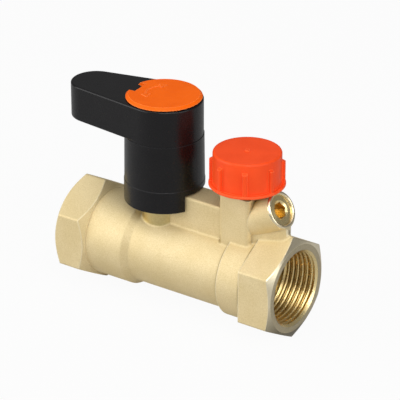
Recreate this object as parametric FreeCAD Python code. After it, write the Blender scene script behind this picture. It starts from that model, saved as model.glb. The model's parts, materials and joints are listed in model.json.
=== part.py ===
import FreeCAD, Part
import math
import os

# Quarter-turn isolating ball valve with a capped drain outlet.
# Millimetres. X runs along the pipe towards the drain end, Z runs up the stem,
# and the origin is where the two axes cross, at the centre of the ball.

# Pipe ends: female thread for 3/4 pipe, shown at its major diameter
pipe_thread_d = 26.44
outlet_thread_depth = 15.3
inlet_thread_depth = 10.8
hex_flats = 32.0
hex_edge_radius = 0.8
end_ring_step = 0.8
outlet_chamfer_deg = 23.5
connector_hex_length = 12.6
connector_chamfer_deg = 35.0

# Forged body
slim_d = 26.9
collar_d = 30.0
waterway_d = 18.0
outlet_collar_length = 9.55
outlet_collar_lead = 0.9
inlet_collar_length = 14.6
inlet_collar_lead = 2.2
hex_shoulder = 0.9
step_radius = 0.8
forging_fillet = 1.0

# Clearances
fit_gap = 0.05
running_gap = 0.1
seal_gap = 0.07

# Ball and its seats
ball_d = 22.0
ball_bore_d = 15.0
ball_slot_width = 4.0
ball_slot_floor = 0.9
chamber_gap = 0.8
seat_relief = 0.3
seat_wall = 3.0
seat_length = 5.2
seat_back_x = 11.6
seat_pocket_depth = 3.6

# Connector spigot in the body's inlet collar
socket_step = 1.2
spigot_end_gap = 0.2
spigot_o_ring_cord = 1.6
spigot_o_ring_inset = 2.2

# Stem, its seals and the neck that holds it
stem_d = 8.0
stem_square = 6.0
stem_flange_d = 11.2
stem_flange_height = 1.6
stem_tang_width = 7.6
stem_o_ring_cord = 1.0
stem_o_ring_rise = 5.5
stem_o_ring_pitch = 5.0
thrust_washer_height = 1.2
washer_pocket_rise = 1.05
neck_d = 15.2
neck_height = 17.55
neck_top_chamfer = 0.6
groove_side_gap = 0.15

# Handle sleeve with its stop skirt
handle_foot_gap = 5.45
sleeve_length = 23.7
sleeve_top_d = 26.6
sleeve_foot_d = 27.2
sleeve_wall = 2.2
sleeve_plate = 2.4
sleeve_hub_d = 13.0
sleeve_hub_gap = 1.0
sleeve_rib_count = 6
sleeve_rib_width = 1.6
skirt_height = 7.5
skirt_step = 0.12
stop_notch_height = 5.7
stop_gap = 0.6

# Lever
lever_height = 12.7
lever_hub_d = 26.2
lever_tip_d = 16.8
lever_reach = 26.8
lever_set_deg = 3.9
lever_edge_radius = 0.6
lever_wall = 2.2
lever_floor = 3.6
lever_underside_rise = 0.4
lever_rib_width = 1.6
bowl_d = 22.0
screw_pocket_d = 11.2
screw_pocket_wall = 1.4
screw_pocket_height = 3.0

# Handle screw, washer and cover
screw_d = 5.0
screw_length = 9.0
screw_hole_depth = 10.0
screw_head_d = 8.4
screw_head_height = 3.0
screw_socket_flats = 4.0
screw_socket_depth = 2.0
screw_washer_d = 10.6
screw_washer_height = 1.0
cover_d = 25.5
cover_rise = 1.3
cover_plate = 1.6
cover_gap = 0.3
cover_edge_height = 0.45
cover_bevel = 0.85
cover_seat_inset = 0.8
cover_ring_wall = 1.4
cover_ring_depth = 4.0
pry_notch_width = 7.0
pry_notch_reach = 9.2
arrow_r = 6.1
arrow_rise = 0.15
arrow_line = 0.5
arrow_sweep_deg = 84.0
arrow_head_width = 3.2
arrow_head_length = 2.4

# Drain tower, its outlet and the stop rib
drain_x = 33.15
tower_length = 12.0
tower_width = 13.4
tower_setback = 0.9
tower_corner = 1.6
tower_hex_gap = 2.3
tower_height = 16.5
drain_bore_d = 8.4
outlet_root_d = 18.64
outlet_bore_d = 12.0
outlet_rim_rise = 28.55
outlet_length = 10.4
outlet_flare_height = 2.2
outlet_flare_width = 3.8
outlet_rim_chamfer = 0.6
rib_width = 10.2
rib_edge_radius = 0.8

# Drain cap and gasket
cap_d = 22.72
cap_height = 11.86
cap_top = 1.4
cap_top_edge = 0.75
cap_thread_d = 21.2
cap_flange_d = 25.38
cap_flange_height = 1.0
cap_flange_edge = 0.3
cap_rib_count = 8
cap_rib_width = 1.5
cap_rib_d = 24.9
cap_rib_height = 8.2
cap_rib_slope = 0.7
cap_rib_edge = 0.45
cap_rib_turn_deg = -60.0
gate_d = 1.5
gate_height = 0.3
gasket_height = 1.2
gasket_d = 20.8

# Slanted boss with its web; depths along the boss count from the mouth
boss_tilt_deg = 29.4
boss_cross_rise = 5.92
boss_length = 16.0
boss_d = 12.84
boss_mouth_chamfer = 0.5
boss_bore_chamfer = 0.4
web_width = 12.0
web_tip_width = 5.2
web_end_inset = 0.35
web_end_margin = 0.538
drain_seat_depth = 18.95
drain_passage_d = 4.4

# Drain spindle and its seals
spindle_d = 10.0
spindle_recess = 0.8
spindle_head_length = 5.1
spindle_shoulder_gap = 0.3
spindle_socket_flats = 5.0
spindle_socket_depth = 3.2
spindle_socket_lead_d = 6.6
spindle_socket_lead = 0.5
spindle_neck_d = 7.9
spindle_neck_length = 4.1
spindle_o_ring_cord = 0.95
spindle_o_ring_inset = 1.0
spindle_shank_d = 4.8
spindle_tip_d = 5.8
spindle_tip_length = 0.7
tip_pin_d = 2.0
tip_pin_length = 0.8
tip_seal_d = 6.6
tip_seal_height = 1.5
tip_seal_gap = 0.1

# Values that follow from the sizes above
reach = 200.0
slim_r = slim_d / 2
collar_r = collar_d / 2
pipe_r = pipe_thread_d / 2
waterway_r = waterway_d / 2
hex_corner_r = hex_flats / math.sqrt(3)
hex_top_r = hex_corner_r - hex_edge_radius * (2 / math.sqrt(3) - 1)
ring_r = hex_flats / 2 - end_ring_step

boss_tilt = math.radians(boss_tilt_deg)
boss_axis = FreeCAD.Vector(math.cos(boss_tilt), 0, math.sin(boss_tilt))
boss_mouth = FreeCAD.Vector(drain_x, 0, slim_r + boss_cross_rise) + boss_axis * boss_length
web_end_x = boss_mouth.x + boss_d / 2 * math.sin(boss_tilt) - web_end_inset
outlet_chamfer_x = web_end_x + forging_fillet + web_end_margin
outlet_face_x = outlet_chamfer_x + (hex_top_r - ring_r) * math.tan(math.radians(outlet_chamfer_deg))
tower_x = drain_x - tower_setback
outlet_hex_x = tower_x + tower_length / 2 + tower_hex_gap
outlet_collar_x = outlet_hex_x - outlet_collar_length

ball_r = ball_d / 2
ball_bore_r = ball_bore_d / 2
chamber_r = ball_r + chamber_gap
socket_r = chamber_r + socket_step
spigot_r = socket_r - fit_gap
seat_inner_r = ball_bore_r + seat_relief
seat_outer_r = seat_inner_r + seat_wall
seat_pocket_r = seat_outer_r + fit_gap
chamber_half_x = seat_back_x - seat_pocket_depth

collar_end_x = -chamber_half_x
collar_face_x = collar_end_x - inlet_collar_length
inlet_face_x = collar_face_x - connector_hex_length

stem_r = stem_d / 2
stem_bore_r = stem_r + running_gap
flange_r = stem_flange_d / 2
neck_top_z = slim_r + neck_height
washer_top_z = slim_r + washer_pocket_rise
flange_top_z = washer_top_z - thrust_washer_height - 2 * fit_gap
flange_foot_z = flange_top_z - stem_flange_height
slot_floor_z = ball_bore_r + ball_slot_floor

foot_z = slim_r + handle_foot_gap
skirt_top_z = foot_z + skirt_height
notch_top_z = foot_z + stop_notch_height
rib_top_z = notch_top_z - stop_gap
seam_z = foot_z + sleeve_length
plate_z = seam_z - sleeve_plate
sleeve_hub_z = neck_top_z + sleeve_hub_gap
hub_floor_z = seam_z + lever_floor
lever_top_z = seam_z + lever_height
stem_top_z = hub_floor_z - running_gap
cover_top_z = lever_top_z + cover_rise
lever_axis_deg = 180.0 + lever_set_deg

rim_z = slim_r + outlet_rim_rise
outlet_foot_z = rim_z - outlet_length
cap_ceiling_z = rim_z + gasket_height
cap_top_z = cap_ceiling_z + cap_top
cap_foot_z = cap_top_z - cap_height

spindle_bore_r = spindle_d / 2 + fit_gap
spindle_neck_bore_r = spindle_neck_d / 2 + running_gap
spindle_neck_depth = spindle_recess + spindle_head_length
spindle_shank_depth = spindle_neck_depth + spindle_neck_length
tip_seal_depth = drain_seat_depth - tip_seal_gap - tip_seal_height

X_AXIS = FreeCAD.Vector(1, 0, 0)
Y_AXIS = FreeCAD.Vector(0, 1, 0)
Z_AXIS = FreeCAD.Vector(0, 0, 1)
ORIGIN = FreeCAD.Vector(0, 0, 0)


def turned_x(points):
    """Turn a closed outline of (x, radius) points about the pipe axis."""
    corners = [FreeCAD.Vector(x, 0, r) for x, r in points]
    face = Part.Face(Part.makePolygon(corners + corners[:1]))
    return face.revolve(ORIGIN, X_AXIS, 360)


def turned_z(points, x=0.0):
    """Turn a closed outline of (radius, z) points about a vertical axis at x."""
    corners = [FreeCAD.Vector(x + r, 0, z) for r, z in points]
    face = Part.Face(Part.makePolygon(corners + corners[:1]))
    return face.revolve(FreeCAD.Vector(x, 0, 0), Z_AXIS, 360)


def rod(x0, x1, radius):
    """A round bar along the pipe axis."""
    return Part.makeCylinder(radius, x1 - x0, FreeCAD.Vector(x0, 0, 0), X_AXIS)


def post(z0, z1, radius, x=0.0):
    """A round bar standing on z0."""
    return Part.makeCylinder(radius, z1 - z0, FreeCAD.Vector(x, 0, z0), Z_AXIS)


def along_boss(depth, length, radius):
    """A round bar on the boss axis that starts at a depth below the mouth and runs inwards."""
    return Part.makeCylinder(radius, length, boss_mouth - boss_axis * depth, boss_axis * -1)


def block(x0, x1, y0, y1, z0, z1):
    """A box between two corners."""
    return Part.makeBox(x1 - x0, y1 - y0, z1 - z0, FreeCAD.Vector(x0, y0, z0))


def hex_bar(flats, start, direction, length, corner_direction):
    """A hexagonal bar with one corner towards the given direction."""
    across = direction.cross(corner_direction)
    radius = flats / math.sqrt(3)
    corners = []
    for k in range(6):
        turn = math.radians(60 * k)
        spoke = corner_direction * math.cos(turn) + across * math.sin(turn)
        corners.append(start + spoke * radius)
    return Part.Face(Part.makePolygon(corners + corners[:1])).extrude(direction * length)


def edges_along(shape, direction, min_length):
    """Straight edges that run along a direction and are not short."""
    found = []
    for edge in shape.Edges:
        if isinstance(edge.Curve, Part.Line) and edge.Length > min_length:
            if abs(abs(edge.tangentAt(edge.FirstParameter).dot(direction)) - 1) < 1e-6:
                found.append(edge)
    return found


def groove_r(bore_r, cord):
    """Radius of the groove that holds an O-ring in a bore."""
    return bore_r - cord - 2 * seal_gap


def o_ring(centre, axis, bore_r, cord):
    """An O-ring that lies in its groove and just clears the bore."""
    return Part.makeTorus(bore_r - seal_gap - cord / 2, cord / 2, centre, axis)


def groove_cut(centre, axis, outer_r, bore_r, cord):
    """The ring that is cut away for an O-ring groove."""
    width = cord + 2 * groove_side_gap
    start = centre - axis * (width / 2)
    ring = Part.makeCylinder(outer_r + cord, width, start, axis)
    return ring.cut(Part.makeCylinder(groove_r(bore_r, cord), width, start, axis))


def hex_end(x0, x1, chamfer_x0_deg, chamfer_x1_deg):
    """A hexagonal pipe end with rounded edges and turned chamfers; an angle of 0 leaves that side square."""
    bar = hex_bar(hex_flats, FreeCAD.Vector(x0, 0, 0), X_AXIS, x1 - x0, Z_AXIS)
    bar = bar.makeFillet(hex_edge_radius, edges_along(bar, X_AXIS, (x1 - x0) / 2))
    outer_r = hex_corner_r + hex_edge_radius
    lead_0 = (outer_r - ring_r) * math.tan(math.radians(chamfer_x0_deg))
    lead_1 = (outer_r - ring_r) * math.tan(math.radians(chamfer_x1_deg))
    outline = [(x0, 0), (x1, 0), (x1, ring_r), (x1 - lead_1, outer_r), (x0 + lead_0, outer_r)]
    if lead_0:
        outline.append((x0, ring_r))
    return bar.common(turned_x(outline))


def valve_barrel():
    """The forging's turned part: inlet collar, slim body, outlet collar and outlet hex."""
    outline = [
        (collar_face_x, 0),
        (collar_face_x, collar_r),
        (collar_end_x, collar_r),
        (collar_end_x + inlet_collar_lead, slim_r),
        (outlet_collar_x - outlet_collar_lead, slim_r),
        (outlet_collar_x, collar_r),
        (outlet_hex_x - hex_shoulder, collar_r),
        (outlet_hex_x, collar_r + hex_shoulder),
        (outlet_hex_x, 0),
    ]
    barrel = turned_x(outline)
    steps = [e for e in barrel.Edges if e.Closed and collar_face_x + 1e-6 < e.CenterOfMass.x < outlet_hex_x - 1e-6]
    barrel = barrel.makeFillet(step_radius, steps)
    return barrel.fuse(hex_end(outlet_hex_x, outlet_face_x, 0, outlet_chamfer_deg))


def stem_neck():
    """The round neck that guides the stem."""
    neck = post(0, neck_top_z, neck_d / 2)
    top = [e for e in neck.Edges if e.Closed and e.CenterOfMass.z > neck_top_z - 1e-6]
    return neck.makeChamfer(neck_top_chamfer, top)


def stop_rib():
    """The rib between neck and tower that stops the handle; the drain passage runs inside it."""
    half = rib_width / 2
    rib = block(0, drain_x, -half, half, 0, rib_top_z)
    top = [e for e in edges_along(rib, X_AXIS, drain_x / 2) if e.CenterOfMass.z > rib_top_z - 1e-6]
    return rib.makeFillet(rib_edge_radius, top)


def drain_tower():
    """Square tower with soft corners, flaring under the cap to the round outlet."""
    half_x = tower_length / 2
    half_y = tower_width / 2
    tower = block(tower_x - half_x, tower_x + half_x, -half_y, half_y, 0, slim_r + tower_height)
    tower = tower.makeFillet(tower_corner, edges_along(tower, Z_AXIS, slim_r))
    root_r = outlet_root_d / 2
    outlet = [
        (0, slim_r),
        (root_r - outlet_flare_width, outlet_foot_z - outlet_flare_height),
        (root_r, outlet_foot_z),
        (root_r, rim_z - outlet_rim_chamfer),
        (root_r - outlet_rim_chamfer, rim_z),
        (0, rim_z),
    ]
    return tower.fuse(turned_z(outlet, drain_x))


def slanted_boss():
    """The round boss for the drain spindle."""
    boss = along_boss(0, boss_length, boss_d / 2)
    mouth = [e for e in boss.Edges if e.Closed and (e.CenterOfMass - boss_mouth).Length < 1e-6]
    return boss.makeChamfer(boss_mouth_chamfer, mouth)


def boss_web():
    """The tapered web that carries the boss on the outlet hex."""
    tip_r = web_tip_width / 2
    near_tip = FreeCAD.Vector(web_end_x - tip_r, -tip_r, 0)
    far_tip = FreeCAD.Vector(web_end_x - tip_r, tip_r, 0)
    near_root = FreeCAD.Vector(drain_x, -web_width / 2, 0)
    far_root = FreeCAD.Vector(drain_x, web_width / 2, 0)
    outline = Part.Wire([
        Part.LineSegment(near_tip, near_root).toShape(),
        Part.LineSegment(near_root, far_root).toShape(),
        Part.LineSegment(far_root, far_tip).toShape(),
        Part.Arc(far_tip, FreeCAD.Vector(web_end_x, 0, 0), near_tip).toShape(),
    ])
    web = Part.Face(outline).extrude(Z_AXIS * boss_mouth.z)
    under_boss = Part.makeBox(reach, reach, reach, FreeCAD.Vector(-reach, -reach / 2, -reach))
    under_boss.rotate(ORIGIN, Y_AXIS, -boss_tilt_deg)
    under_boss.translate(boss_mouth)
    return web.common(under_boss)


def footed(form, ground, x0, x1):
    """A form with a forged fillet where it stands on the ground, kept between two planes across the pipe."""
    joined = ground.fuse(form).removeSplitter()
    ground_skin = Part.Compound(ground.Faces)
    form_skin = Part.Compound(form.Faces)
    foot = []
    for edge in joined.Edges:
        middle = Part.Vertex(edge.valueAt((edge.FirstParameter + edge.LastParameter) / 2))
        if ground_skin.distToShape(middle)[0] < 1e-4 and form_skin.distToShape(middle)[0] < 1e-4:
            foot.append(edge)
    band = block(x0, x1, -reach, reach, -reach, reach)
    return joined.makeFillet(forging_fillet, foot).common(band)


def body_bores():
    """Everything that is machined out of the forging."""
    passage_length = (boss_mouth.z - waterway_r / 2) / math.sin(boss_tilt) - drain_seat_depth
    return [
        rod(outlet_face_x - outlet_thread_depth, outlet_face_x, pipe_r),
        rod(0, outlet_face_x, waterway_r),
        rod(0, seat_back_x, seat_pocket_r),
        rod(collar_end_x, chamber_half_x, chamber_r),
        rod(collar_face_x, collar_end_x, socket_r),
        post(0, washer_top_z, flange_r + running_gap),
        post(0, neck_top_z, stem_bore_r),
        post(boss_mouth.z - boss_axis.z * boss_length, rim_z, drain_bore_d / 2, drain_x),
        post(outlet_foot_z, rim_z, outlet_bore_d / 2, drain_x),
        along_boss(0, spindle_neck_depth + spindle_shoulder_gap, spindle_bore_r),
        Part.makeCone(
            spindle_bore_r + boss_bore_chamfer, spindle_bore_r, boss_bore_chamfer, boss_mouth, boss_axis * -1),
        along_boss(0, drain_seat_depth, spindle_neck_bore_r),
        along_boss(drain_seat_depth, passage_length, drain_passage_d / 2),
    ]


def make_valve_body():
    """The forging: each upright form is footed on the stretch of barrel under it, then the bores are cut."""
    slim = rod(-reach, reach, slim_r)
    collar = rod(-reach, reach, collar_r)
    hexagon = hex_end(outlet_hex_x, outlet_face_x, 0, outlet_chamfer_deg)
    tower = drain_tower()
    web = boss_web()
    forms = [
        footed(stem_neck(), slim, collar_end_x, outlet_collar_x),
        footed(stop_rib(), slim, 0, outlet_collar_x),
        footed(tower, slim, 0, outlet_collar_x),
        footed(tower, collar, outlet_collar_x, outlet_hex_x),
        footed(web, collar, drain_x, outlet_hex_x),
        footed(web, hexagon, outlet_hex_x, outlet_face_x),
        slanted_boss(),
    ]
    forging = valve_barrel().fuse(forms).removeSplitter()
    return forging.cut(body_bores())


def spigot_o_ring_centre():
    return FreeCAD.Vector(collar_face_x + spigot_o_ring_inset, 0, 0)


def make_end_connector():
    """The hexagonal inlet end, screwed into the collar, with the pocket for the inlet seat."""
    spigot_end_x = collar_end_x - spigot_end_gap
    connector = hex_end(inlet_face_x, collar_face_x, connector_chamfer_deg, connector_chamfer_deg)
    connector = connector.fuse(rod(collar_face_x, spigot_end_x, spigot_r)).removeSplitter()
    return connector.cut([
        rod(inlet_face_x, inlet_face_x + inlet_thread_depth, pipe_r),
        rod(inlet_face_x, spigot_end_x, waterway_r),
        rod(-seat_back_x, spigot_end_x, seat_pocket_r),
        groove_cut(spigot_o_ring_centre(), X_AXIS, spigot_r, socket_r, spigot_o_ring_cord),
    ])


def make_seat(side):
    """A ball seat, hollowed to the ball; side is 1 at the outlet and -1 at the inlet."""
    back_x = side * seat_back_x
    front_x = side * (seat_back_x - seat_length)
    left_x = min(back_x, front_x)
    right_x = max(back_x, front_x)
    ring = rod(left_x, right_x, seat_outer_r).cut(rod(left_x, right_x, seat_inner_r))
    return ring.cut(Part.makeSphere(ball_r + running_gap))


def make_ball():
    """The bored ball with the slot for the stem's tang, across the bore."""
    half_slot = ball_slot_width / 2
    return Part.makeSphere(ball_r).cut([
        rod(-ball_r, ball_r, ball_bore_r),
        block(-half_slot, half_slot, -ball_r, ball_r, slot_floor_z, ball_r),
    ])


def stem_o_ring_centre(place):
    return FreeCAD.Vector(0, 0, washer_top_z + stem_o_ring_rise + place * stem_o_ring_pitch)


def square_post(flats, z0, z1):
    """A square bar on the stem axis, set square to the lever."""
    half = flats / 2
    bar = block(-half, half, -half, half, z0, z1)
    bar.rotate(ORIGIN, Z_AXIS, lever_axis_deg)
    return bar


def make_stem():
    """The stem: tang, thrust flange, sealed shank and the square that drives the handle."""
    half_x = ball_slot_width / 2 - fit_gap
    half_y = stem_tang_width / 2
    tang = block(-half_x, half_x, -half_y, half_y, slot_floor_z + fit_gap, flange_foot_z)
    flange = post(flange_foot_z, flange_top_z, flange_r)
    shank = post(flange_top_z, sleeve_hub_z, stem_r)
    square = square_post(stem_square, sleeve_hub_z, stem_top_z)
    square = square.common(post(sleeve_hub_z, stem_top_z, stem_r))
    return tang.fuse([flange, shank, square]).cut([
        groove_cut(stem_o_ring_centre(0), Z_AXIS, stem_r, stem_bore_r, stem_o_ring_cord),
        groove_cut(stem_o_ring_centre(1), Z_AXIS, stem_r, stem_bore_r, stem_o_ring_cord),
        post(stem_top_z - screw_hole_depth, stem_top_z, screw_d / 2),
    ])


def make_thrust_washer():
    """The washer between the stem's flange and the roof of its pocket."""
    foot = flange_top_z + fit_gap
    washer = post(foot, foot + thrust_washer_height, flange_r)
    return washer.cut(post(foot, foot + thrust_washer_height, stem_r + fit_gap))


def make_handle_neck():
    """The extension sleeve: tapered shell, driving hub on ribs, and a skirt with the quarter-turn notch."""
    foot_r = sleeve_foot_d / 2
    top_r = sleeve_top_d / 2
    skirt_r = foot_r - skirt_step
    shell = turned_z([
        (foot_r - sleeve_wall, foot_z),
        (foot_r, foot_z),
        (foot_r, skirt_top_z),
        (skirt_r, skirt_top_z + skirt_step),
        (top_r, seam_z),
        (0, seam_z),
        (0, plate_z),
        (top_r - sleeve_wall, plate_z),
    ])
    hub = post(sleeve_hub_z, plate_z, sleeve_hub_d / 2)
    ribs = []
    for k in range(sleeve_rib_count):
        rib = block(
            0, top_r - sleeve_wall / 2, -sleeve_rib_width / 2, sleeve_rib_width / 2, sleeve_hub_z, plate_z)
        rib.rotate(ORIGIN, Z_AXIS, 360 * k / sleeve_rib_count)
        ribs.append(rib)
    stop_y = rib_width / 2 + stop_gap
    sleeve = shell.fuse([hub] + ribs).removeSplitter()
    return sleeve.cut([
        square_post(stem_square + 2 * fit_gap, sleeve_hub_z, seam_z),
        block(-stop_y, reach, -stop_y, reach, 0, notch_top_z),
    ])


def teardrop(hub_r, tip_r, z0, z1):
    """The lever's outline, two circles joined by tangents, as a prism with its tip towards +X."""
    lean = math.asin((hub_r - tip_r) / lever_reach)
    hub_x = hub_r * math.sin(lean)
    hub_y = hub_r * math.cos(lean)
    tip_x = lever_reach + tip_r * math.sin(lean)
    tip_y = tip_r * math.cos(lean)
    plan = [(hub_x, hub_y), (hub_x, -hub_y), (tip_x, -tip_y), (tip_x, tip_y)]
    corners = [FreeCAD.Vector(x, y, z0) for x, y in plan]
    outline = Part.Wire([
        Part.Arc(corners[0], FreeCAD.Vector(-hub_r, 0, z0), corners[1]).toShape(),
        Part.LineSegment(corners[1], corners[2]).toShape(),
        Part.Arc(corners[2], FreeCAD.Vector(lever_reach + tip_r, 0, z0), corners[3]).toShape(),
        Part.LineSegment(corners[3], corners[0]).toShape(),
    ])
    return Part.Face(outline).extrude(Z_AXIS * (z1 - z0))


def make_handle_lever():
    """The moulded lever: round hub with a bowl for the screw, and an arm cored from below around one rib."""
    hub_r = lever_hub_d / 2
    tip_r = lever_tip_d / 2
    arm_foot_z = seam_z + lever_underside_rise
    arm = teardrop(hub_r, tip_r, arm_foot_z, lever_top_z)
    rims = [e for e in arm.Edges if abs(e.tangentAt(e.FirstParameter).z) < 1e-6]
    arm = arm.makeFillet(lever_edge_radius, rims)
    core = teardrop(hub_r - lever_wall, tip_r - lever_wall, arm_foot_z, lever_top_z - lever_wall)
    core = core.cut([
        post(seam_z, lever_top_z, hub_r),
        block(0, reach, -lever_rib_width / 2, lever_rib_width / 2, seam_z, lever_top_z),
    ])
    pocket_wall_r = screw_pocket_d / 2 + screw_pocket_wall
    bowl = post(hub_floor_z, lever_top_z, bowl_d / 2)
    pocket_wall = post(hub_floor_z, hub_floor_z + screw_pocket_height, pocket_wall_r)
    pocket_wall = pocket_wall.cut(post(hub_floor_z, lever_top_z, screw_pocket_d / 2))
    hub = post(seam_z, seam_z + lever_floor, hub_r)
    lever = arm.fuse(hub).removeSplitter().cut([core, bowl.cut(pocket_wall)])
    lever.rotate(ORIGIN, Z_AXIS, lever_axis_deg)
    return lever.cut(square_post(stem_square + 2 * fit_gap, seam_z, hub_floor_z))


def make_screw_washer():
    """The washer that clamps the lever down on the sleeve."""
    washer = post(hub_floor_z, hub_floor_z + screw_washer_height, screw_washer_d / 2)
    return washer.cut(post(hub_floor_z, hub_floor_z + screw_washer_height, screw_d / 2 + running_gap))


def make_handle_screw():
    """The socket screw that holds the handle to the stem."""
    seat_z = hub_floor_z + screw_washer_height
    head_top_z = seat_z + screw_head_height
    head = post(seat_z, head_top_z, screw_head_d / 2)
    screw = head.fuse(post(seat_z - screw_length, seat_z, screw_d / 2 - fit_gap))
    socket_foot = FreeCAD.Vector(0, 0, head_top_z - screw_socket_depth)
    return screw.cut(hex_bar(screw_socket_flats, socket_foot, Z_AXIS, screw_socket_depth, X_AXIS))


def arrow_head(side):
    """A head of the cover's arrow on the +X side, pointing along the arc; side is 1 or -1."""
    foot_z = cover_top_z - arrow_rise
    half = arrow_head_width / 2
    outline = [(arrow_r - half, 0), (arrow_r + half, 0), (arrow_r, side * arrow_head_length)]
    corners = [FreeCAD.Vector(x, y, foot_z) for x, y in outline]
    head = Part.Face(Part.makePolygon(corners + corners[:1])).extrude(Z_AXIS * 2 * arrow_rise)
    head.rotate(ORIGIN, Z_AXIS, side * arrow_sweep_deg / 2)
    return head


def cover_arrow():
    """The raised arrow for the quarter turn: an arc with a head at each end, on the inlet side."""
    foot = FreeCAD.Vector(0, 0, cover_top_z - arrow_rise)
    outer_r = arrow_r + arrow_line / 2
    inner_r = arrow_r - arrow_line / 2
    arc = Part.makeCylinder(outer_r, 2 * arrow_rise, foot, Z_AXIS, arrow_sweep_deg)
    arc = arc.cut(Part.makeCylinder(inner_r, 2 * arrow_rise, foot, Z_AXIS))
    arc.rotate(ORIGIN, Z_AXIS, -arrow_sweep_deg / 2)
    arrow = arc.fuse([arrow_head(1), arrow_head(-1)])
    arrow.rotate(ORIGIN, Z_AXIS, 180)
    return arrow


def make_handle_cover():
    """The snap-in cover: a bevelled disc on a seat, a ring that grips the bowl, a notch to prise it off."""
    rim_r = cover_d / 2
    seat_r = rim_r - cover_seat_inset
    rim_foot_z = lever_top_z + cover_gap
    ring_r = bowl_d / 2 - running_gap
    bore_r = ring_r - cover_ring_wall
    cover = turned_z([
        (0, cover_top_z),
        (rim_r - cover_bevel, cover_top_z),
        (rim_r, lever_top_z + cover_edge_height),
        (rim_r, rim_foot_z),
        (seat_r, rim_foot_z),
        (seat_r, lever_top_z),
        (ring_r, lever_top_z),
        (ring_r, lever_top_z - cover_ring_depth),
        (bore_r, lever_top_z - cover_ring_depth),
        (bore_r, cover_top_z - cover_plate),
        (0, cover_top_z - cover_plate),
    ])
    half = pry_notch_width / 2
    notch = block(pry_notch_reach, reach, -half, half, 0, cover_top_z)
    notch.rotate(ORIGIN, Z_AXIS, lever_axis_deg)
    return cover.cut(notch).fuse(cover_arrow()).removeSplitter()


def cap_rib():
    """One grip rib with a sloping top and soft outer edges, on the cap's +X side."""
    foot = cap_foot_z + cap_flange_height / 2
    top = cap_foot_z + cap_flange_height + cap_rib_height
    inner_x = drain_x + (cap_d + cap_thread_d) / 4
    outer_x = drain_x + cap_rib_d / 2
    half = cap_rib_width / 2
    outline = [(inner_x, foot), (outer_x, foot), (outer_x, top - cap_rib_slope), (inner_x, top)]
    corners = [FreeCAD.Vector(x, -half, z) for x, z in outline]
    rib = Part.Face(Part.makePolygon(corners + corners[:1])).extrude(Y_AXIS * cap_rib_width)
    uprights = edges_along(rib, Z_AXIS, cap_rib_height / 2)
    outer_edges = [e for e in uprights if e.CenterOfMass.x > outer_x - 1e-6]
    return rib.makeFillet(cap_rib_edge, outer_edges)


def make_drain_cap():
    """The ribbed screw cap with its flange and the mark of the moulding gate."""
    flange_r = cap_flange_d / 2
    bore_r = cap_thread_d / 2
    outer_r = cap_d / 2
    shell = turned_z([
        (bore_r, cap_foot_z),
        (flange_r - cap_flange_edge, cap_foot_z),
        (flange_r, cap_foot_z + cap_flange_edge),
        (flange_r, cap_foot_z + cap_flange_height - cap_flange_edge),
        (flange_r - cap_flange_edge, cap_foot_z + cap_flange_height),
        (outer_r, cap_foot_z + cap_flange_height),
        (outer_r, cap_top_z),
        (0, cap_top_z),
        (0, cap_ceiling_z),
        (bore_r, cap_ceiling_z),
    ], drain_x)
    rim = [e for e in shell.Edges if e.Closed and e.CenterOfMass.z > cap_top_z - 1e-6]
    shell = shell.makeFillet(cap_top_edge, rim)
    ribs = []
    for k in range(cap_rib_count):
        rib = cap_rib()
        rib.rotate(FreeCAD.Vector(drain_x, 0, 0), Z_AXIS, cap_rib_turn_deg + 360 * k / cap_rib_count)
        ribs.append(rib)
    gate = post(cap_top_z - gate_height, cap_top_z + gate_height, gate_d / 2, drain_x)
    return shell.fuse(ribs + [gate]).removeSplitter()


def make_cap_gasket():
    """The flat gasket between the outlet's rim and the cap."""
    gasket = post(rim_z, cap_ceiling_z, gasket_d / 2, drain_x)
    return gasket.cut(post(rim_z, cap_ceiling_z, outlet_bore_d / 2, drain_x))


def spindle_o_ring_centre():
    return boss_mouth - boss_axis * (spindle_shank_depth - spindle_o_ring_inset)


def make_drain_spindle():
    """The drain screw: socket head, sealed neck, slim shank and the tip that carries the seal."""
    tip_depth = tip_seal_depth - spindle_tip_length
    spindle = along_boss(spindle_recess, spindle_head_length, spindle_d / 2).fuse([
        along_boss(spindle_neck_depth, spindle_neck_length, spindle_neck_d / 2),
        along_boss(spindle_shank_depth, tip_depth - spindle_shank_depth, spindle_shank_d / 2),
        along_boss(tip_depth, spindle_tip_length, spindle_tip_d / 2),
        along_boss(tip_seal_depth, tip_pin_length, tip_pin_d / 2),
    ])
    socket_mouth = boss_mouth - boss_axis * spindle_recess
    socket = hex_bar(spindle_socket_flats, socket_mouth, boss_axis * -1, spindle_socket_depth, Y_AXIS)
    socket_lead = Part.makeCone(
        spindle_socket_lead_d / 2, spindle_socket_flats / 2, spindle_socket_lead, socket_mouth, boss_axis * -1)
    groove = groove_cut(
        spindle_o_ring_centre(), boss_axis, spindle_neck_d / 2, spindle_neck_bore_r, spindle_o_ring_cord)
    return spindle.cut([socket, socket_lead, groove])


def make_tip_seal():
    """The soft pad on the spindle's tip that closes the drain passage."""
    pad = along_boss(tip_seal_depth, tip_seal_height, tip_seal_d / 2)
    return pad.cut(along_boss(tip_seal_depth, tip_pin_length + fit_gap, tip_pin_d / 2 + fit_gap))


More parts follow.
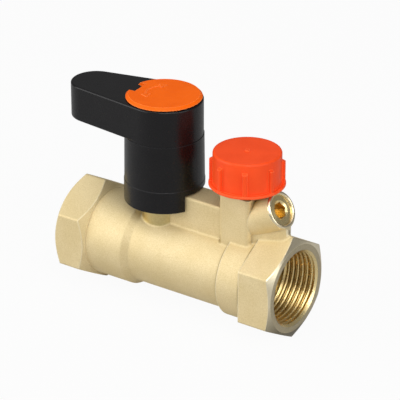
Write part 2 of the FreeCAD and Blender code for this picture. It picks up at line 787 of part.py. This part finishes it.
def main():
    nodes = {
        "valve_body": make_valve_body(),
        "end_connector": make_end_connector(),
        "connector_o_ring": o_ring(spigot_o_ring_centre(), X_AXIS, socket_r, spigot_o_ring_cord),
        "inlet_seat": make_seat(-1),
        "outlet_seat": make_seat(1),
        "ball": make_ball(),
        "stem": make_stem(),
        "stem_thrust_washer": make_thrust_washer(),
        "stem_o_ring_lower": o_ring(stem_o_ring_centre(0), Z_AXIS, stem_bore_r, stem_o_ring_cord),
        "stem_o_ring_upper": o_ring(stem_o_ring_centre(1), Z_AXIS, stem_bore_r, stem_o_ring_cord),
        "handle_neck": make_handle_neck(),
        "handle_lever": make_handle_lever(),
        "handle_screw": make_handle_screw(),
        "screw_washer": make_screw_washer(),
        "handle_cover": make_handle_cover(),
        "drain_cap": make_drain_cap(),
        "drain_cap_gasket": make_cap_gasket(),
        "drain_spindle": make_drain_spindle(),
        "spindle_o_ring": o_ring(
            spindle_o_ring_centre(), boss_axis, spindle_neck_bore_r, spindle_o_ring_cord),
        "spindle_tip_seal": make_tip_seal(),
    }
    os.makedirs("parts", exist_ok=True)
    for name, shape in nodes.items():
        shape.exportStep(f"parts/{name}.step")


main()
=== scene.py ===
import json
import math

import bpy
from mathutils import Matrix, Vector


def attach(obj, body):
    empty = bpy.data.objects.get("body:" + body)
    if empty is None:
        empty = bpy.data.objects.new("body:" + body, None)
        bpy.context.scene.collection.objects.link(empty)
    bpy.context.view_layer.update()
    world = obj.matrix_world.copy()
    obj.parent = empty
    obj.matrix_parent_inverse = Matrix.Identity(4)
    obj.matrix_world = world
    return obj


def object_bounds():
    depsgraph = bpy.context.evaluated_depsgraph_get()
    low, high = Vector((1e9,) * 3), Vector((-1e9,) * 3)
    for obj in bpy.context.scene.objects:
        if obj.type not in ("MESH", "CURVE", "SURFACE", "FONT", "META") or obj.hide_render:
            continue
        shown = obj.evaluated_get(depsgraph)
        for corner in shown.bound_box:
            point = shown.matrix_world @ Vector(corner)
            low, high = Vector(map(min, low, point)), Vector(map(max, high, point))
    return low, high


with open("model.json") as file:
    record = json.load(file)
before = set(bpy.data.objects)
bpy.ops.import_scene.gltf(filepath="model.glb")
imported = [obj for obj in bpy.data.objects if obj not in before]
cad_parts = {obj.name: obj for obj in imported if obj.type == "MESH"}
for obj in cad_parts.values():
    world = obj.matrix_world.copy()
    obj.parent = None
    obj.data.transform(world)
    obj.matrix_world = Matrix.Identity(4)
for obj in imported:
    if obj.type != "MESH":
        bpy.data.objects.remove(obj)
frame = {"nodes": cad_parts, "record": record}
cad_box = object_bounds()
nodes = frame["nodes"]
mounts = {mount["name"]: mount for mount in frame["record"]["mounts"]}

# Quarter-turn isolating valve: finishes, threads, light and camera.
# Sizes are in millimetres; MM turns them into the frame's metres.
MM = 0.001

# All threads: 14 turns to the inch, with their backs sunk a little into the CAD walls
PITCH = 1.814
THREAD_EMBED = 0.04
THREAD_COLUMNS = 144
ROWS_PER_PITCH = 14
THREAD_SHARP_DEG = 50

# Pipe threads in both ends; the run-out is a share of the countersink
PIPE_RIDGE_R = 12.25
PIPE_COUNTERSINK = 0.9
PIPE_RUN_OUT = 0.4
PIPE_PLAIN_END = 2.2

# Drain outlet's outside thread and the cap's inside thread; spans are heights from the outlet's rim
DRAIN_ROOT_R = 9.32
DRAIN_RIDGE_R = 10.48
DRAIN_THREAD_SPAN = (-8.4, -0.4)
CAP_WALL_R = 10.6
CAP_RIDGE_R = 9.52
CAP_THREAD_SPAN = (-7.0, -1.2)

# Where machining has cut through the blasted skin
BORE_SKIN_R = 13.35
END_CUT_X = 45.0
END_BEVEL_NORMAL = 0.85
END_FACE_NORMAL = 0.97
BOSS_REACH = 7.2
DRAIN_CUT_Z = 32.0
NECK_CUT_Z = 11.5
NECK_SKIN_R = 7.75

# Where shade is painted into the skin: the steps behind the outlet's hexagon, and creases low down
SHOULDER_CENTRE = (36.0, 0.0, 0.0)
SHOULDER_REACH = (17.0, 19.0)
CREASE_SHADE_Z = (8.0, 12.0)

# Colours of the blasted skin, with its painted highlight and painted shade
SKIN = (0.80, 0.66, 0.375)
SKIN_PALE = (0.85, 0.715, 0.435)
SKIN_PITS = (0.64, 0.505, 0.255)
SKIN_EDGE_HIGHLIGHT = (0.98, 0.91, 0.70)
SKIN_CREASE_SHADE = (0.40, 0.31, 0.14)
SKIN_CORNER_SHADE = (0.33, 0.23, 0.08)

# Camera fitted to the photograph
CAMERA_AZIMUTH_DEG = 34.983
CAMERA_ELEVATION_DEG = 25.914
CAMERA_EYE = (448.58, -620.49, 389.53)
CAMERA_FOCAL_PX = 2538.84
CAMERA_NEAR = 10.0
PHOTO_PX = 400
SENSOR_MM = 36.0

# Soft lights: name, place, width and height, brightness
SOFTBOXES = (
    ("key_left", (-620, -660, 360), (900, 760), 2.95),
    ("overhead", (-120, -120, 1000), (1000, 900), 1.3),
    ("front_top", (500, -480, 680), (620, 520), 4.4),
    ("edge_right", (860, -60, 220), (560, 400), 3.0),
)
LIGHT_AIM = (8.0, 0.0, 15.0)

# White surroundings
FLOOR_SIZE = 60000.0
FLOOR_GAP = 0.05
SKY_STRENGTH = 0.09
WHITE_SEEN = 0.95
WHITE_MIRRORED = 0.15


class Nodes:
    """A node tree under construction, with short ways to add to it."""

    def __init__(self, tree):
        self.tree = tree

    def node(self, kind, **settings):
        made = self.tree.nodes.new(kind)
        for key, value in settings.items():
            setattr(made, key, value)
        return made

    def feed(self, socket, value):
        """Sets a socket to a constant, or links it where the value is another node's output."""
        if isinstance(value, bpy.types.NodeSocket):
            self.tree.links.new(value, socket)
        else:
            socket.default_value = value

    def math(self, operation, first, second):
        made = self.node("ShaderNodeMath", operation=operation)
        self.feed(made.inputs[0], first)
        self.feed(made.inputs[1], second)
        return made.outputs[0]


class Finish(Nodes):
    """A material under construction: its shader, and ways to read the surface and to change it."""

    def __init__(self, name, colour, metallic, roughness):
        self.material = bpy.data.materials.new(name)
        self.material.use_nodes = True
        super().__init__(self.material.node_tree)
        self.shader = self.tree.nodes["Principled BSDF"]
        self.shader.inputs["Base Color"].default_value = (*colour, 1)
        self.shader.inputs["Metallic"].default_value = metallic
        self.shader.inputs["Roughness"].default_value = roughness

    def place(self):
        """The point on the object, in its own frame and in metres."""
        return self.node("ShaderNodeTexCoord").outputs["Object"]

    def normal(self):
        """The surface's direction in the object's own frame."""
        return self.node("ShaderNodeTexCoord").outputs["Normal"]

    def vector_math(self, operation, first, second):
        made = self.node("ShaderNodeVectorMath", operation=operation)
        self.feed(made.inputs[0], first)
        self.feed(made.inputs[1], second)
        return made

    def along(self, vector, direction):
        """How far a vector reaches along a direction."""
        return self.vector_math("DOT_PRODUCT", vector, direction).outputs["Value"]

    def distance(self, point):
        """How far the point on the object is from a given point."""
        return self.vector_math("DISTANCE", self.place(), point).outputs["Value"]

    def from_axis(self, across):
        """Distance from an axis through the origin; across is 0 along the axis and 1 beside it."""
        flat = self.vector_math("MULTIPLY", self.place(), across).outputs["Vector"]
        return self.vector_math("LENGTH", flat, (0, 0, 0)).outputs["Value"]

    def noise(self, size, detail, stretch=(1, 1, 1)):
        """Noise whose features are about size millimetres across."""
        scaled = self.vector_math("MULTIPLY", self.place(), stretch).outputs["Vector"]
        made = self.node("ShaderNodeTexNoise")
        made.inputs["Scale"].default_value = 1 / (size * MM)
        made.inputs["Detail"].default_value = detail
        self.feed(made.inputs["Vector"], scaled)
        return made.outputs["Fac"]

    def spread(self, value, low, high, to_low, to_high):
        """Maps a value from one range to another and stops at its ends."""
        made = self.node("ShaderNodeMapRange")
        for socket, number in zip(made.inputs[:5], (value, low, high, to_low, to_high)):
            self.feed(socket, number)
        return made.outputs["Result"]

    def blend(self, share, first, second):
        """Colour from first to second as share goes from 0 to 1."""
        made = self.node("ShaderNodeMix", data_type="RGBA")
        colours = [socket for socket in made.inputs if socket.type == "RGBA"]
        self.feed(made.inputs["Factor"], share)
        for socket, colour in zip(colours, (first, second)):
            self.feed(socket, colour if isinstance(colour, bpy.types.NodeSocket) else (*colour, 1))
        return [socket for socket in made.outputs if socket.type == "RGBA"][0]

    def mix(self, share, first, second):
        """Number from first to second as share goes from 0 to 1."""
        made = self.node("ShaderNodeMix", data_type="FLOAT")
        numbers = [socket for socket in made.inputs if socket.type == "VALUE"]
        for socket, value in zip(numbers, (share, first, second)):
            self.feed(socket, value)
        return made.outputs[0]

    def rounded(self, radius, samples):
        """The surface's direction, with edges rounded by radius millimetres."""
        made = self.node("ShaderNodeBevel", samples=samples)
        made.inputs["Radius"].default_value = radius * MM
        return made.outputs["Normal"]

    def edges(self, radius):
        """About 1 on outer and inner edges, within radius millimetres, and 0 on plain faces."""
        plain = self.node("ShaderNodeNewGeometry").outputs["Normal"]
        return self.spread(self.along(self.rounded(radius, 6), plain), 0.995, 0.90, 0.0, 1.0)

    def creases(self, reach):
        """About 1 deep in inner corners, within reach millimetres, and 0 in the open."""
        made = self.node("ShaderNodeAmbientOcclusion", samples=24, only_local=True)
        made.inputs["Distance"].default_value = reach * MM
        return self.spread(made.outputs["AO"], 0.95, 0.45, 0.0, 1.0)

    def tool_marks(self, centre, axis, share):
        """Stretches reflections across fine marks that were turned around an axis."""
        spoke = self.vector_math("SUBTRACT", self.place(), centre).outputs["Vector"]
        around = self.vector_math("CROSS_PRODUCT", axis, spoke).outputs["Vector"]
        across = self.vector_math("CROSS_PRODUCT", self.normal(), around).outputs["Vector"]
        turned = self.node(
            "ShaderNodeVectorTransform", vector_type="VECTOR", convert_from="OBJECT", convert_to="WORLD")
        self.feed(turned.inputs[0], across)
        self.set(Tangent=turned.outputs[0], Anisotropic=share)

    def bump(self, height, depth):
        """Adds relief of about depth millimetres to the surface."""
        made = self.node("ShaderNodeBump")
        made.inputs["Distance"].default_value = depth * MM
        made.inputs["Strength"].default_value = 1.0
        self.feed(made.inputs["Height"], height)
        before = self.shader.inputs["Normal"]
        if before.is_linked:
            self.feed(made.inputs["Normal"], before.links[0].from_socket)
        self.feed(before, made.outputs["Normal"])

    def set(self, **sockets):
        """Sets or links the shader's own sockets, named with underscores for spaces."""
        for name, value in sockets.items():
            self.feed(self.shader.inputs[name.replace("_", " ")], value)


def bore_cut(finish):
    """Share of the forging that is bored or turned: the waterway and the drain outlet."""
    bore = finish.math("LESS_THAN", finish.from_axis((0, 1, 1)), BORE_SKIN_R * MM)
    drain = finish.math("GREATER_THAN", finish.along(finish.place(), (0, 0, 1)), DRAIN_CUT_Z * MM)
    return finish.math("MAXIMUM", bore, drain)


def end_cuts(finish):
    """Shares of the outlet's end that are turned: the flat face, and the bevel around it."""
    at_end = finish.math("GREATER_THAN", finish.along(finish.place(), (1, 0, 0)), END_CUT_X * MM)
    facing = finish.along(finish.normal(), (1, 0, 0))
    face = finish.math("MULTIPLY", at_end, finish.math("GREATER_THAN", facing, END_FACE_NORMAL))
    turned = finish.math("MULTIPLY", at_end, finish.math("GREATER_THAN", facing, END_BEVEL_NORMAL))
    return face, finish.math("SUBTRACT", turned, face)


def boss_cut(finish):
    """Share of the slanted boss that is machined, which is its mouth."""
    axis = Vector(mounts["drain_key"]["axis"])
    socket = Vector(mounts["drain_key"]["pos_m"])
    near = finish.math("LESS_THAN", finish.distance(socket), BOSS_REACH * MM)
    beyond = finish.math("GREATER_THAN", finish.along(finish.place(), axis), socket.dot(axis))
    return finish.math("MULTIPLY", beyond, near)


def neck_cut(finish):
    """Share of the forging that is turned down to the stem neck."""
    above = finish.math("GREATER_THAN", finish.along(finish.place(), (0, 0, 1)), NECK_CUT_Z * MM)
    slim = finish.math("LESS_THAN", finish.from_axis((1, 1, 0)), NECK_SKIN_R * MM)
    return finish.math("MULTIPLY", above, slim)


def outlet_shoulder_shade(finish):
    """Share of the two steps behind the outlet's hexagon, where painted shade goes."""
    facing = finish.spread(finish.along(finish.normal(), (1, 0, 0)), -0.1, -0.5, 0.0, 0.7)
    full, none = SHOULDER_REACH
    near = finish.spread(finish.distance(Vector(SHOULDER_CENTRE) * MM), full * MM, none * MM, 1.0, 0.0)
    return finish.math("MULTIPLY", facing, near)


def skin_colour(finish, grain):
    """The blasted skin: cloudy and pitted, with a painted highlight on its edges and painted shade in its
    creases.
    """
    cloud = finish.spread(finish.noise(9.0, 3.0), 0.35, 0.65, 0.0, 1.0)
    colour = finish.blend(cloud, SKIN, SKIN_PALE)
    colour = finish.blend(finish.spread(grain, 0.3, 0.7, 0.0, 0.45), colour, SKIN_PITS)
    # Painted highlight: the edges are made paler.
    colour = finish.blend(finish.math("MULTIPLY", finish.edges(0.55), 0.8), colour, SKIN_EDGE_HIGHLIGHT)
    # Painted shade in creases, strongest low down and fading out higher up.
    low, high = CREASE_SHADE_Z
    height = finish.along(finish.place(), (0, 0, 1))
    low_shade = finish.spread(height, low * MM, high * MM, 0.85, 0.25)
    colour = finish.blend(finish.math("MULTIPLY", finish.creases(2.0), low_shade), colour, SKIN_CREASE_SHADE)
    # Painted shade in inner corners and on the steps behind the outlet's hexagon.
    corners = finish.math("MULTIPLY", finish.creases(0.7), 0.8)
    corner_shade = finish.math("MAXIMUM", corners, outlet_shoulder_shade(finish))
    return finish.blend(corner_shade, colour, SKIN_CORNER_SHADE)


def blasted_brass():
    """Forged brass, shot-blasted to a pale matt skin, with bright metal where it was machined."""
    finish = Finish("blasted_brass", (0.8, 0.66, 0.36), 1.0, 0.55)
    grain = finish.noise(0.35, 3.0)
    colour = skin_colour(finish, grain)
    rough = finish.spread(grain, 0.3, 0.7, 0.62, 0.72)
    streaks = finish.spread(finish.noise(0.5, 3.0), 0.3, 0.7, 0.0, 1.0)
    face, bevel = end_cuts(finish)
    downward = finish.spread(finish.along(finish.normal(), (0, 0, 1)), -0.3, 0.0, 1.0, 0.0)
    shaded_lower_bevel = finish.math("MULTIPLY", bevel, downward)
    # The end's bevel and the boss mouth are painted pale as a painted highlight; the end face and the
    # bevel's downward part are painted dark as painted shade.
    cuts = (
        (bore_cut(finish), (0.82, 0.65, 0.34), (0.74, 0.57, 0.28), 0.28),
        (face, (0.62, 0.54, 0.36), (0.51, 0.435, 0.285), 0.3),
        (bevel, (0.93, 0.84, 0.63), (0.86, 0.75, 0.51), 0.28),
        (shaded_lower_bevel, (0.26, 0.225, 0.15), (0.22, 0.19, 0.125), 0.34),
        (boss_cut(finish), (0.90, 0.79, 0.56), (0.82, 0.69, 0.44), 0.27),
        (neck_cut(finish), (0.68, 0.55, 0.26), (0.60, 0.47, 0.20), 0.42),
    )
    uncut = 1.0
    for share, bright, dull, cut_rough in cuts:
        colour = finish.blend(share, colour, finish.blend(streaks, bright, dull))
        rough = finish.mix(share, rough, cut_rough)
        uncut = finish.math("SUBTRACT", uncut, share)
    skin = finish.math("MAXIMUM", uncut, 0.0)
    marks = finish.math("MULTIPLY", finish.math("MAXIMUM", face, bevel), 0.8)
    finish.set(Base_Color=colour, Roughness=rough, Metallic=finish.mix(skin, 1.0, 0.65))
    finish.tool_marks((0, 0, 0), (1, 0, 0), marks)
    finish.set(Normal=finish.rounded(0.6, 8))
    finish.bump(finish.math("MULTIPLY", grain, skin), 0.05)
    finish.bump(finish.math("MULTIPLY", finish.noise(1.4, 3.0), skin), 0.05)
    return finish.material


def turned_brass(name, centre, axis, marks, shade_reach):
    """Machined brass: tool marks around an axis, and painted shade: a deeper gold within the given reach,
    in mm, of inner corners.
    """
    finish = Finish(name, (0.86, 0.7, 0.37), 1.0, 0.3)
    finish.tool_marks(centre, axis, marks)
    colour = finish.blend(finish.noise(2.5, 3.0), (0.94, 0.78, 0.43), (0.88, 0.69, 0.32))
    # Painted shade: inner corners turn a darker, deeper gold.
    colour = finish.blend(finish.math("MULTIPLY", finish.creases(shade_reach), 0.85), colour, (0.52, 0.31, 0.05))
    finish.set(Base_Color=colour, Roughness=finish.spread(finish.noise(2.0, 2.0), 0.3, 0.7, 0.25, 0.31))
    finish.bump(finish.noise(1.5, 2.0), 0.002)
    return finish.material


def moulded_plastic(name, colour, deep_colour, edge_highlight, roughness, gloss, grain_depth):
    """Satin moulded plastic: slightly cloudy colour, a fine spark-eroded grain and a painted highlight on
    its edges.
    """
    finish = Finish(name, colour, 0.0, roughness)
    cloud = finish.spread(finish.noise(6.0, 3.0), 0.35, 0.65, 0.0, 1.0)
    body = finish.blend(cloud, colour, deep_colour)
    grain = finish.noise(0.3, 2.0)
    # Painted highlight: the edges take the paler edge colour.
    finish.set(
        Base_Color=finish.blend(finish.math("MULTIPLY", finish.edges(0.3), 0.8), body, edge_highlight),
        Roughness=finish.spread(grain, 0.3, 0.7, roughness - 0.05, roughness + 0.06),
        Specular_IOR_Level=gloss,
    )
    finish.bump(grain, grain_depth)
    return finish.material


def black_plastic():
    return moulded_plastic(
        "black_plastic",
        colour=(0.0036, 0.0032, 0.0038),
        deep_colour=(0.0026, 0.0023, 0.0028),
        edge_highlight=(0.03, 0.029, 0.031),
        roughness=0.3,
        gloss=0.3,
        grain_depth=0.008,
    )


def orange_plastic():
    return moulded_plastic(
        "orange_plastic",
        colour=(1.0, 0.15, 0.004),
        deep_colour=(0.95, 0.135, 0.003),
        edge_highlight=(1.0, 0.34, 0.09),
        roughness=0.46,
        gloss=0.12,
        grain_depth=0.006,
    )


def red_plastic():
    return moulded_plastic(
        "red_plastic",
        colour=(1.0, 0.088, 0.015),
        deep_colour=(0.95, 0.078, 0.012),
        edge_highlight=(1.0, 0.24, 0.08),
        roughness=0.4,
        gloss=0.2,
        grain_depth=0.008,
    )


def seat_plastic():
    return moulded_plastic(
        "seat_plastic",
        colour=(0.86, 0.86, 0.83),
        deep_colour=(0.80, 0.80, 0.76),
        edge_highlight=(0.9, 0.9, 0.87),
        roughness=0.45,
        gloss=0.4,
        grain_depth=0.006,
    )


def seal_rubber():
    """Matt black rubber with a slight bloom."""
    finish = Finish("seal_rubber", (0.018, 0.018, 0.018), 0.0, 0.6)
    bloom = finish.spread(finish.noise(1.5, 4.0), 0.4, 0.75, 0.0, 1.0)
    finish.set(Base_Color=finish.blend(bloom, (0.014, 0.014, 0.014), (0.03, 0.03, 0.031)))
    finish.bump(finish.noise(0.2, 2.0), 0.008)
    return finish.material


def plated_ball():
    """Chromed ball with the faintest polishing lines."""
    finish = Finish("plated_ball", (0.78, 0.78, 0.79), 1.0, 0.08)
    finish.set(Roughness=finish.spread(finish.noise(1.5, 3.0, (1, 1, 6)), 0.3, 0.7, 0.05, 0.13))
    finish.bump(finish.noise(0.4, 2.0, (1, 1, 8)), 0.002)
    return finish.material


def screw_steel():
    """Zinc-plated steel with a slight yellow-blue cast."""
    finish = Finish("screw_steel", (0.6, 0.6, 0.6), 1.0, 0.32)
    cast = finish.noise(2.0, 2.0)
    finish.set(
        Base_Color=finish.blend(cast, (0.62, 0.62, 0.58), (0.56, 0.58, 0.63)),
        Roughness=finish.spread(finish.noise(0.6, 3.0), 0.3, 0.7, 0.25, 0.4),
    )
    finish.bump(finish.noise(0.3, 2.0), 0.005)
    return finish.material


FINISHES = {
    "blasted_brass": blasted_brass(),
    "turned_brass": turned_brass("turned_brass", (0, 0, 0), (1, 0, 0), marks=0.0, shade_reach=2.5),
    "plated_ball": plated_ball(),
    "seat_plastic": seat_plastic(),
    "seal_rubber": seal_rubber(),
    "black_plastic": black_plastic(),
    "orange_plastic": orange_plastic(),
    "red_plastic": red_plastic(),
    "screw_steel": screw_steel(),
}


def dress_cad_nodes():
    """Gives each CAD piece the finish of its slot, apart from two with tool marks around their own axis."""
    key = mounts["drain_key"]
    turned = {
        "drain_spindle": turned_brass("spindle_brass", key["pos_m"], key["axis"], marks=0.8, shade_reach=5.0),
        "stem": turned_brass("stem_brass", (0, 0, 0), (0, 0, 1), marks=0.5, shade_reach=2.5),
    }
    for part in frame["record"]["subparts"]:
        piece = nodes[part["node"]]
        piece.data.materials.clear()
        piece.data.materials.append(turned.get(part["node"]) or FINISHES[part["material_slot"]])


def add_piece(name, corners, faces, slot, body):
    """A new mesh piece that rides on a body and wears a record slot's finish."""
    mesh = bpy.data.meshes.new(name)
    mesh.from_pydata([Vector(corner) * MM for corner in corners], [], faces)
    mesh.update()
    mesh.materials.append(FINISHES[slot])
    piece = bpy.data.objects.new(name, mesh)
    bpy.context.scene.collection.objects.link(piece)
    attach(piece, body)
    return piece


def ridge_height(turn):
    """Height of a rounded thread, from 0 in the groove to 1 on the ridge, after so many pitches."""
    return 0.5 - 0.5 * math.cos(2 * math.pi * turn)


def add_thread(name, foot, axis, length, radius_at, back_r, slot, body):
    """A closed sleeve on an axis, threaded as radius_at(distance, ridge) says and plain at back_r."""
    axis = Vector(axis)
    side = axis.orthogonal().normalized()
    other = axis.cross(side)
    rows = round(length / PITCH * ROWS_PER_PITCH)
    corners = []
    for column in range(THREAD_COLUMNS):
        turn = column / THREAD_COLUMNS
        spoke = side * math.cos(2 * math.pi * turn) + other * math.sin(2 * math.pi * turn)
        section = []
        for row in range(rows + 1):
            distance = length * row / rows
            section.append((distance, radius_at(distance, ridge_height(distance / PITCH - turn))))
        section += [(length, back_r), (0, back_r)]
        corners += [Vector(foot) + axis * distance + spoke * radius for distance, radius in section]
    count = len(section)
    faces = []
    for column in range(THREAD_COLUMNS):
        here = column * count
        there = (column + 1) % THREAD_COLUMNS * count
        for row in range(count):
            after = (row + 1) % count
            faces.append((here + row, here + after, there + after, there + row))
    piece = add_piece(name, corners, faces, slot, body)
    piece.data.shade_smooth()
    piece.data.set_sharp_from_angle(angle=math.radians(THREAD_SHARP_DEG))


def limited(share):
    """The share, kept between 0 and 1."""
    return min(1.0, max(0.0, share))


def add_pipe_thread(name, mount):
    """The thread in a pipe end: a plain drilled end, full ridges, and a countersink at the mouth."""
    wall_r = mount["dims"]["r_mm"]
    length = mount["dims"]["length_mm"]
    axis = Vector(mount["axis"])
    foot = Vector(mount["pos_m"]) / MM - axis * length
    depth = wall_r - PIPE_RIDGE_R

    def radius_at(distance, ridge):
        from_mouth = length - distance
        run_in = limited((distance - PIPE_PLAIN_END) / PITCH)
        run_out = limited(from_mouth / PIPE_COUNTERSINK - PIPE_RUN_OUT)
        groove = PIPE_RIDGE_R + depth * (1 - ridge) * run_in * run_out
        opening = PIPE_RIDGE_R + depth * limited(1 - from_mouth / PIPE_COUNTERSINK)
        return max(groove, opening)

    back_r = wall_r + THREAD_EMBED
    add_thread(name, foot, axis, length, radius_at, back_r, "turned_brass", "valve")


def add_drain_thread(name, foot_z, length, valley_r, ridge_r, back_r, slot, body):
    """A thread on the drain axis, whose ridges rise from nothing within one pitch of either end."""

    def radius_at(distance, ridge):
        fade = limited(min(distance, length - distance) / PITCH)
        return valley_r + (ridge_r - valley_r) * ridge * fade

    foot = (mounts["drain_thread"]["pos_m"][0] / MM, 0, foot_z)
    add_thread(name, foot, (0, 0, 1), length, radius_at, back_r, slot, body)


def add_drain_threads():
    """The outlet's outside thread and the cap's inside thread, whose ridges stand in its grooves."""
    rim_z = mounts["drain_thread"]["pos_m"][2] / MM
    low, high = (rim_z + rise for rise in DRAIN_THREAD_SPAN)
    cap_low, cap_high = (rim_z + rise for rise in CAP_THREAD_SPAN)
    past_groove = ((cap_low - low) / PITCH + 0.5) % 1.0
    cap_foot = cap_low - past_groove * PITCH
    add_drain_thread(
        "drain_outlet_thread", low, high - low, DRAIN_ROOT_R, DRAIN_RIDGE_R,
        DRAIN_ROOT_R - THREAD_EMBED, "turned_brass", "valve")
    add_drain_thread(
        "drain_cap_thread", cap_foot, cap_high - cap_low, CAP_WALL_R, CAP_RIDGE_R,
        CAP_WALL_R + THREAD_EMBED, "red_plastic", "cap")


def white_share(shading):
    """Share of plain white in the background: most to the lens, less to metal, gloss and glass."""
    rays = shading.node("ShaderNodeLightPath").outputs
    mirrored = shading.math("MAXIMUM", rays["Is Glossy Ray"], rays["Is Transmission Ray"])
    seen = shading.math("MULTIPLY", rays["Is Camera Ray"], WHITE_SEEN)
    return shading.math("MAXIMUM", seen, shading.math("MULTIPLY", mirrored, WHITE_MIRRORED))


def floor_finish():
    """White floor: paper that takes shadow, with a white glow for the lens, metal and gloss to see."""
    finish = Finish("floor_paper", (0.5, 0.5, 0.5), 0.0, 0.9)
    glow = finish.node("ShaderNodeEmission")
    mix = finish.node("ShaderNodeMixShader")
    finish.feed(mix.inputs["Fac"], white_share(finish))
    finish.feed(mix.inputs[1], finish.shader.outputs[0])
    finish.feed(mix.inputs[2], glow.outputs[0])
    finish.feed(finish.tree.nodes["Material Output"].inputs["Surface"], mix.outputs[0])
    return finish.material


def add_floor():
    """A wide square just under the valve."""
    half = FLOOR_SIZE / 2 * MM
    z = cad_box[0][2] - FLOOR_GAP * MM
    corners = [(-half, -half, z), (half, -half, z), (half, half, z), (-half, half, z)]
    mesh = bpy.data.meshes.new("floor")
    mesh.from_pydata(corners, [], [(0, 1, 2, 3)])
    mesh.materials.append(floor_finish())
    floor = bpy.data.objects.new("floor", mesh)
    bpy.context.scene.collection.objects.link(floor)


def add_softbox(name, place, size, brightness):
    """A soft light that faces the middle of the valve; its power follows from its brightness and area."""
    light = bpy.data.lights.new(name, "AREA")
    light.shape = "RECTANGLE"
    light.size = size[0] * MM
    light.size_y = size[1] * MM
    light.energy = brightness * math.pi * light.size * light.size_y
    lamp = bpy.data.objects.new(name, light)
    lamp.location = Vector(place) * MM
    aim = Vector(LIGHT_AIM) * MM - lamp.location
    lamp.rotation_euler = aim.to_track_quat("-Z", "Y").to_euler()
    bpy.context.scene.collection.objects.link(lamp)


def light_scene():
    """The soft lights, and a dim sky that is white to the lens."""
    for softbox in SOFTBOXES:
        add_softbox(*softbox)
    world = bpy.data.worlds.new("studio")
    world.use_nodes = True
    sky = Nodes(world.node_tree)
    background = world.node_tree.nodes["Background"]
    background.inputs["Color"].default_value = (1, 1, 1, 1)
    glow = sky.math("MULTIPLY", white_share(sky), 1 - SKY_STRENGTH)
    sky.feed(background.inputs["Strength"], sky.math("ADD", glow, SKY_STRENGTH))
    bpy.context.scene.world = world


def add_camera():
    """The camera, where the photograph was taken from."""
    azimuth = math.radians(CAMERA_AZIMUTH_DEG)
    elevation = math.radians(CAMERA_ELEVATION_DEG)
    level = math.cos(elevation)
    back = Vector((math.sin(azimuth) * level, -math.cos(azimuth) * level, math.sin(elevation)))
    right = Vector((math.cos(azimuth), math.sin(azimuth), 0))
    up = back.cross(right)
    lens = bpy.data.cameras.new("photo_view")
    lens.sensor_width = SENSOR_MM
    lens.lens = CAMERA_FOCAL_PX / PHOTO_PX * SENSOR_MM
    lens.clip_start = CAMERA_NEAR * MM
    camera = bpy.data.objects.new("photo_view", lens)
    turn = Matrix((right, up, back)).transposed().to_4x4()
    camera.matrix_world = Matrix.Translation(Vector(CAMERA_EYE) * MM) @ turn
    bpy.context.scene.collection.objects.link(camera)
    bpy.context.scene.camera = camera


dress_cad_nodes()
add_pipe_thread("outlet_pipe_thread", mounts["outlet_thread"])
add_pipe_thread("inlet_pipe_thread", mounts["inlet_thread"])
add_drain_threads()
add_floor()
light_scene()
add_camera()
bpy.context.scene.view_settings.view_transform = "Standard"
